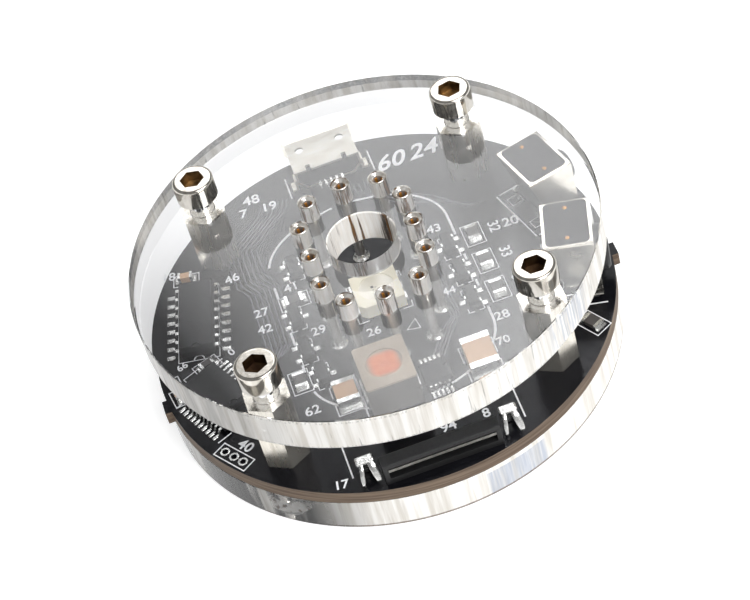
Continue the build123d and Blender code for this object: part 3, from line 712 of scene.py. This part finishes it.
def clear_plate(name, low, high, cutters, node):
    """A disc with holes: clear faces and screw holes, and a finish each for the rim and the other walls."""
    fresh()
    low, high = low + HAIR, high - HAIR
    middle = (0.0, 0.0, (low + high) / 2 * MM)
    bpy.ops.mesh.primitive_cylinder_add(
        vertices=256, radius=DISC_R * MM, depth=(high - low) * MM, location=middle)
    plate = bpy.context.object
    plate.name = name
    settle(plate)
    soften_edges(plate, lambda a, b: abs(a.z - b.z) < 0.01, 0.15)
    for cutter in cutters:
        carve(plate, cutter)
    close(plate, 12.0)
    clothe(plate, *plate_finishes)
    for face in plate.data.polygons:
        x, y = face.center.x / MM, face.center.y / MM
        screw_hole = math.hypot(abs(x) - SCREW_REACH, abs(y) - SCREW_REACH) < SCREW_HOLE_R + 0.25
        if screw_hole or abs(face.normal.z) > 0.9:
            face.material_index = 0
        else:
            face.material_index = 2 if math.hypot(x, y) < RIM_R else 1
    fit(plate, None, "clear_acrylic", node)


clear_plate("upper_plate", TOP_LOW, TOP_HIGH, [
    hole_cutter(TIP_HOLE_R, 0.12, [(0, 0, 0)], 128),
    hole_cutter(SCREW_HOLE_R, 0.08, SCREW_SPOTS),
    hole_cutter(1.0, 0.04, PIN_SPOTS),
], "top_plate")
sink = turned("sink", [(2.5, -0.1), (SCREW_HOLE_R, 1.05), (SCREW_HOLE_R, BASE_HIGH + 0.1)], 64)
clear_plate("lower_plate", 0.0, BASE_HIGH, [repeat("sink", sink, SCREW_SPOTS)], "bottom_plate")

# ---------------------------------------------------------------- sockets and screws

sleeve = turned("sleeve", [
    (0.54, 4.0), (0.6, 4.06), (0.6, 12.2), (0.89, 12.2), (0.95, 12.26),              # tail and shoulder
    (0.95, 12.62), (0.92, 12.66), (0.92, 12.72), (0.95, 12.76),                      # groove
    (0.95, 16.42), (0.94, 16.5), (0.91, 16.57), (0.86, 16.6), (0.82, 16.595),        # rounded lip
    (0.76, 16.56), (0.62, 16.46), (0.54, 16.38), (0.515, 16.3), (0.51, 16.2),        # funnel
    (0.575, 16.12), (0.575, 12.8),                                                   # bore
], 40)
fit(repeat("socket_sleeves", sleeve, PIN_SPOTS), finishes["tinned_brass"], "tinned_brass", "socket_barrels")

fillet = turned("fillet", [
    (0.98, BOARD_TOP), (0.95, 5.66), (0.85, 5.74), (0.75, 5.88), (0.68, 6.02), (0.63, 6.15),
], 32)
fit(repeat("tail_solder", fillet, PIN_SPOTS), finishes["solder_tin"], "solder_tin", "socket_solder")

SCREW_R, SCREW_ROOT_R, PITCH = 1.25, 1.05, 0.45
HEAD_R, HEAD_TOP = 2.25, 19.1
SOCKET_R, SOCKET_FLOOR = 1.36, 17.62
screw_profile = [(0.95, 8.6)]
z = 8.7
while z < 16.3:
    screw_profile += [(SCREW_ROOT_R, z), (SCREW_R, z + 0.18), (SCREW_R, z + 0.23), (SCREW_ROOT_R, z + 0.41)]
    z += PITCH
screw = turned("screw", screw_profile + [
    (SCREW_R, TOP_HIGH), (2.12, TOP_HIGH), (HEAD_R, 16.7), (HEAD_R, 18.84), (2.23, 18.94), (2.18, 19.02),
    (2.1, 19.075), (2.02, HEAD_TOP), (1.86, HEAD_TOP),
], 64)
recess = turned("recess", [(0.2, SOCKET_FLOOR), (SOCKET_R, 17.85), (SOCKET_R, HEAD_TOP + 0.1)], 6)
carve(screw, recess)
close(screw, 30.0)
clothe(screw, finishes["nickel"], painted_recess_shade())
for face in screw.data.polygons:
    middle = face.center / MM
    in_recess = math.hypot(middle.x, middle.y) < SOCKET_R and SOCKET_FLOOR - 0.1 < middle.z < HEAD_TOP - 0.05
    face.material_index = 1 if in_recess else 0
screw_turns = [(x, y, 14.0 * n) for n, (x, y, _) in enumerate(SCREW_SPOTS)]
fit(repeat("cap_screws", screw, screw_turns), None, "nickel", "top_screws")

# ---------------------------------------------------------------- hold-down clips of the edge socket

clip_parts = [block("clip", -0.75, 0.75, -21.2, -20.55, 5.62, 7.7, 0.14, 3),
              block("clip", -0.95, 0.95, -21.75, -20.75, 7.35, 7.98, 0.2, 3)]
# Sections of a prong: x, y, z, share of its full width, height.
PRONG = [(0.42, -21.3, 7.66, 1.0, 0.44), (0.5, -21.8, 7.5, 1.05, 0.42), (0.6, -22.2, 7.1, 1.1, 0.44),
         (0.7, -22.5, 6.6, 1.1, 0.5), (0.78, -22.75, 6.1, 1.0, 0.5), (0.82, -22.95, 5.8, 0.75, 0.32)]
for side, wide in ((-1, 0.42), (1, 0.66)):
    sections = [(side * x, y, z, wide * share, tall) for x, y, z, share, tall in PRONG]
    clip_parts.append(swept("clip", sections, 0.07))
clips = repeat("fork_clips", join("clip", clip_parts), [(-7.6, 0, 0), (7.6, 0, 0)])
fit(clips, finishes["solder_tin"], "solder_tin", "edge_clips")

# ---------------------------------------------------------------- solder on the pads

mound = block("mound", -0.5, 0.5, -0.5, 0.5, 0.0, 1.0)
soften_edges(mound, lambda a, b: a.z > 0.9 and b.z > 0.9, 0.28, 2)
pads = []


def solder(x, y, turn, spots, length, width, height):
    """Mounds at spots of a component's own frame."""
    for px, py in turned_to(x, y, turn, spots):
        pad = copied("pad_solder", mound, px, py, BOARD_TOP, turn)
        pad.scale = (length, width, height)
        pads.append(pad)


for x, y, turn, length, width in CAPACITORS + RESISTORS:
    reach = length / 2 + 0.18
    solder(x, y, turn, [(-reach, 0.0), (reach, 0.0)], 0.42, width + 0.16, 0.2)
for x, y, turn in TRANSISTORS:
    solder(x, y, turn, [(1.12, 0.0), (-1.12, -0.95), (-1.12, 0.95)], 0.62, 0.56, 0.13)
for x, y, turn, _, count, pitch, reach, width in (CLOCK_CHIP, CONTROLLER, BOOST_CHIP):
    for n in range(count):
        along = (n - (count - 1) / 2) * pitch
        ends = [(-reach - 0.1, along), (reach + 0.1, along)]
        solder(x, y, turn, ends, 0.8 if pitch > 1 else 0.62, width + 0.12, 0.1)
fit(join("pad_solder", pads), finishes["solder_tin"], "solder_tin")
bpy.data.objects.remove(mound)

# ---------------------------------------------------------------- print and tracks on the board

ink = []


def ink_line(points, width=0.16, closed=False):
    ink.append(drawn_line(points, width, BOARD_TOP, INK_T, closed))


def ink_box(x, y, turn, half_l, half_w, width=0.16):
    """A rectangle's outline."""
    corners = [(-half_l, -half_w), (half_l, -half_w), (half_l, half_w), (-half_l, half_w)]
    ink_line(turned_to(x, y, turn, corners), width, True)


def oval(y):
    """Half width of the tube's outline at a height y."""
    over = max(0.0, abs(y) - OVAL_FLAT)
    return OVAL_HALF * math.sqrt(max(0.0, 1.0 - (over / OVAL_CAP) ** 2))


def oval_stretch(side, low, high):
    """Points of the outline's left (-1) or right (1) half, from y low to y high."""
    steps = max(2, int((high - low) / 0.5))
    heights = [low + (high - low) * n / steps for n in range(steps + 1)]
    return [(side * oval(y), y) for y in heights]


# The tube's outline, broken off where the transistors stand.
OVAL_EDGES = {
    -1: [-9.8, -6.8, -5.7, -2.6, -0.6, 4.8, 6.6, 9.8],
    1: [-6.6, -3.4, -2.3, 0.9, 1.9, 5.1],
}
for side, gaps in OVAL_EDGES.items():
    edges = [-OVAL_END] + gaps + [OVAL_END]
    for low, high in zip(edges[::2], edges[1::2]):
        ink_line(oval_stretch(side, low, high), 0.28)

# Outlines about the small components.
for x, y, turn in TRANSISTORS:
    for s, t in CORNERS:
        corner = [(s * 0.85, t * 1.05), (s * 0.85, t * 1.72), (s * 0.25, t * 1.72)]
        ink_line(turned_to(x, y, turn, corner), 0.14)
for x, y, turn, length, width in RESISTORS + CAPACITORS[2:]:
    ink_box(x, y, turn, length / 2 + 0.62, width / 2 + 0.42)
for x, y, turn, length, width in CAPACITORS[:2]:
    for s in (-1, 1):
        reach, half = length / 2 + 0.5, width / 2 + 0.32
        bracket = [(s * 0.5, -half), (s * reach, -half), (s * reach, half), (s * 0.5, half)]
        ink_line(turned_to(x, y, turn, bracket))

# The light package: its corners and the small triangle by it.
ink_line([(1.4, -5.96), (2.8, -6.25), (2.61, -4.74)], closed=True)
for s, t in CORNERS:
    ink_line([(s * 3.0, t * 2.0), (s * 3.0, t * 2.85), (s * 1.9, t * 2.85)])

# The chips: an outline with the notch of the first lead, and broken lines.
notch = [(0.55 * math.cos(n / 8 * math.pi), 0.55 * math.sin(n / 8 * math.pi) - 5.25) for n in range(9)]
outline = [(-2.25, -5.35), (2.25, -5.35), (2.25, 5.35), (-2.25, 5.35)]
ink_line(turned_to(*CLOCK_CHIP[:3], [(-2.2, 5.35), (-0.55, 5.35)]))
ink_line(turned_to(*CLOCK_CHIP[:3], notch), 0.14)
ink_line(turned_to(*CLOCK_CHIP[:3], outline), 0.14, True)
step = [(-3.5, 3.7), (-1.2, 3.7), (-1.2, 4.6), (1.6, 4.6), (1.6, 3.7), (3.4, 3.7)]
ink_line(turned_to(*CONTROLLER[:3], [(-3.5, -3.7), (-1.7, -3.7)]))
ink_line(turned_to(*CONTROLLER[:3], step))

# The inductor and the header.
ink_line([(-5.55, -9.4), (-5.55, -16.6)], 0.18)
ink_line([(0.75, -9.4), (-0.2, -9.4)], 0.18)
ink_box(-19.9, -13.0, -56.0, 2.15, 0.86, 0.2)

# Beside the edge socket, the inlet and the two switches.
for side in (-1, 1):
    ink_line([(side * 9.2, -16.5), (side * 9.2, -21.2)], 0.18)
    ink_line([(side * 4.9, 19.2), (side * 4.9, 22.6)], 0.18)
    turn = side * SWITCH_TURN
    for ends in ([(17.9, -4.0), (23.9, -4.0)], [(17.9, 4.0), (23.9, 4.0)], [(17.6, -4.0), (17.6, 4.0)]):
        ink_line(turned_to(0, 0, turn, ends), 0.18)
    for x, y in turned_to(0, 0, turn, [(18.9, -2.25), (18.9, 2.25)]):
        ink_box(x, y, turn, 0.7, 0.6, 0.14)
ink_line([(7.57, 13.28), (6.4, 14.2)], 0.2)
ink_line([(13.9, 20.1), (15.2, 19.2), (16.3, 18.2)], 0.14)

# Plain numbers that stand for nothing: text, x, y, turn, height.
PRINTED = [
    ("60", 5.0, 18.6, 0.7, 2.45), ("24", 8.9, 18.65, 0.7, 2.45), ("48", -10.3, 20.65, -4.6, 1.45),
    ("7", -11.1, 18.9, -3.9, 1.35), ("19", -8.6, 18.7, -3.9, 1.35), ("20", 15.2, 3.7, -4.3, 1.35),
    ("30", 15.4, -5.6, -4.3, 1.35), ("32", 13.75, 5.2, -90.0, 1.25), ("33", 13.75, 1.0, -90.0, 1.25),
    ("34", 13.75, -3.5, -90.0, 1.25), ("44", 6.3, -3.1, 0.0, 1.1), ("41", -9.2, 5.3, 3.3, 1.2),
    ("46", -14.9, 9.6, 5.4, 1.2), ("43", 7.4, 6.6, -4.5, 1.2), ("28", 10.3, -9.0, 0.0, 1.2),
    ("27", -13.2, 3.2, -1.5, 1.2), ("42", -13.4, 0.7, -3.1, 1.2), ("29", -8.1, -2.2, 0.0, 1.2),
    ("36", -12.4, -9.4, 90.0, 1.1), ("26", -2.7, -5.0, -2.6, 1.15), ("70", 9.4, -12.4, 1.2, 1.1),
    ("62", -11.6, -12.8, 0.0, 1.25), ("17", -11.4, -21.9, -7.5, 1.15), ("40", -19.4, -11.7, -54.1, 1.3),
    ("94", 0.8, -19.5, 0.6, 1.25), ("8", 5.3, -19.5, 0.6, 1.25), ("18", -21.6, 13.4, -12.3, 1.2),
    ("66", -22.6, -0.6, 20.0, 0.9), ("0", -16.9, -0.9, 20.0, 1.0),
]
LEANS = {"60": 0.35, "24": 0.35}
for text, x, y, turn, tall in PRINTED:
    ink.append(number(text, x, y, turn, tall, BOARD_TOP, INK_T, LEANS.get(text, 0.0)))
fit(join("board_print", ink), white_ink(), "white_plastic")

tracks = []


def track(points):
    tracks.append(drawn_line(points, 0.17, BOARD_TOP, TRACK_T))


for n in range(7):
    out = n * 0.56
    track([(-5.4 - out * 0.9, 19.6), (-6.0 - out, 17.9), (-6.6 - out, 17.3), (-10.6 - out, 13.2 + out * 0.3),
           (-10.6 - out, 9.0 - out * 0.2), (-9.6 - out, 7.2 - out * 0.2),
           (-9.9 - out * 0.95, -1.6 - out * 0.25), (-11.6 - out * 0.6, -3.4 - out * 0.2)])
for n in range(5):
    track([(2.0 + n * 0.6, 17.8), (2.0 + n * 0.6, 16.9 - n * 0.3), (6.0 + n * 0.9, 12.6 - n * 0.1),
           (11.0 + n * 0.4, 10.4 - n * 0.4), (12.4 + n * 0.4, 8.6)])
for n in range(4):
    track([(6.9 - n * 0.5, 2.2), (7.2 - n * 0.3, -6.2), (6.2 - n * 0.4, -7.4), (3.9 - n * 0.45, -11.2)])
fit(join("board_tracks", tracks), covered_copper(), "black_board")

# ---------------------------------------------------------------- small marks

pegs = []
for side in (-1, 1):
    for x, y in turned_to(0, 0, side * SWITCH_TURN, [(21.0, -2.2), (21.0, 2.2)]):
        pegs.append((x, y, 0.0))
peg = turned("peg", [(0.24, 12.05), (0.24, 12.15), (0.18, 12.19)], 20)
fit(repeat("roof_pegs", peg, pegs), finishes["gold_contact"], "gold_contact")

for name, side in (("select", 1), ("set", -1)):
    film = block(name + "_roof_film", 18.7, 23.3, -3.1, 3.1, 12.1, 12.135)
    soften_edges(film, lambda a, b: abs(a.z - b.z) > 0.01, 0.5, 4)
    film.rotation_euler = (0.0, 0.0, math.radians(side * SWITCH_TURN))
    settle(film)
    fit(film, finishes["black_plastic"], "black_plastic")

dies = []
for dx, dy, half in ((-0.45, 0.25, 0.15), (-0.1, 0.1, 0.06), (-0.45, -0.2, 0.06)):
    dies.append(block("die", dx - half, dx + half, dy - half, dy + half, 7.11, 7.135, 0.01, 1))
fit(join("light_dies", dies), finishes["dark_ceramic"], "dark_ceramic")

# ---------------------------------------------------------------- stage, light, camera

def paper(name, camera_level):
    """White paper that the camera, gloss and clear pieces see as white, with the shadow kept."""
    g = Graph(name)
    by_camera, by_gloss, by_glass = g.rays()
    seen = by_camera + by_gloss * (1.0 - by_glass * 0.4)
    return g.finish(
        Base_Color=grey(0.58), Roughness=0.9, Specular_IOR_Level=0.0,
        Emission_Color=grey(1.0), Emission_Strength=seen * camera_level,
    )


fresh()
bpy.ops.mesh.primitive_plane_add(size=4.0, location=(0.0, 0.0, -0.00002))
floor = bpy.context.object
floor.name = "floor"
floor.data.materials.append(paper("white_paper", 0.66))

studio = Surround("studio")
by_camera, by_gloss, by_glass = studio.rays()

# The camera's right, up and forward, mirrored in a level face: what the plates reflect lies about "ahead".
across = studio.along((0.9415, -0.2653, 0.2077))
up = studio.along((0.3341, 0.6547, -0.6779))
ahead = studio.along((0.0472, 0.726, 0.686))
low = studio.along((0.0, 0.0, 1.0)).ramp(0.35, 0.15)

# A bright window, cut off aslant at its left, that lays a wash of light on the upper plate.
window = (across * 0.75 + up * 0.66).ramp(-0.072, -0.021) * across.ramp(0.19, 0.13)
window = window * up.ramp(0.2, 0.12) * up.ramp(-0.068, -0.052) * (ahead > 0.5)
window = window * (1.0 + across.ramp(0.015, 0.06) * up.ramp(0.03, -0.01) * 0.35)

# Levels for plain and camera rays, for gloss, and for rays through clear pieces, which count as gloss too.
plain = 0.55 + by_camera * 0.45
mirrored = 0.24 + low * 0.53 + window * 2.3
through = 0.97 - (ahead > 0.9) * 0.6 + low * 0.15 + window * 4.1
level = plain + by_gloss * (mirrored - plain) + by_glass * (through - mirrored)
bpy.context.scene.world = studio.world
studio.put(studio.shader.inputs["Color"], grey(1.0))
studio.put(studio.shader.inputs["Strength"], level)


def softbox(name, place, width, depth, power):
    """A rectangular lamp aimed at the part, in metres and watts."""
    lamp = bpy.data.lights.new(name, "AREA")
    lamp.shape = "RECTANGLE"
    lamp.size = width
    lamp.size_y = depth
    lamp.energy = power
    made = bpy.data.objects.new(name, lamp)
    bpy.context.scene.collection.objects.link(made)
    made.location = place
    aim = Vector((0.0, 0.0, 0.01)) - Vector(place)
    made.rotation_euler = aim.to_track_quat("-Z", "Y").to_euler()


softbox("overhead_softbox", (0.18, -0.1, 0.62), 0.35, 0.35, 1.7)
softbox("front_softbox", (0.22, -0.5, 0.42), 0.3, 0.2, 2.9)

camera_data = bpy.data.cameras.new("camera")
camera_data.sensor_width = 36.0
camera_data.lens = 116.506
camera_data.clip_start = 0.01
camera = bpy.data.objects.new("camera", camera_data)
bpy.context.scene.collection.objects.link(camera)
camera.location = (-11.8627 * MM, -182.3795 * MM, 188.9579 * MM)
camera.rotation_euler = [math.radians(a) for a in (43.87522, 11.98553, -15.73892)]
bpy.context.scene.camera = camera
bpy.context.scene.view_settings.view_transform = "Standard"
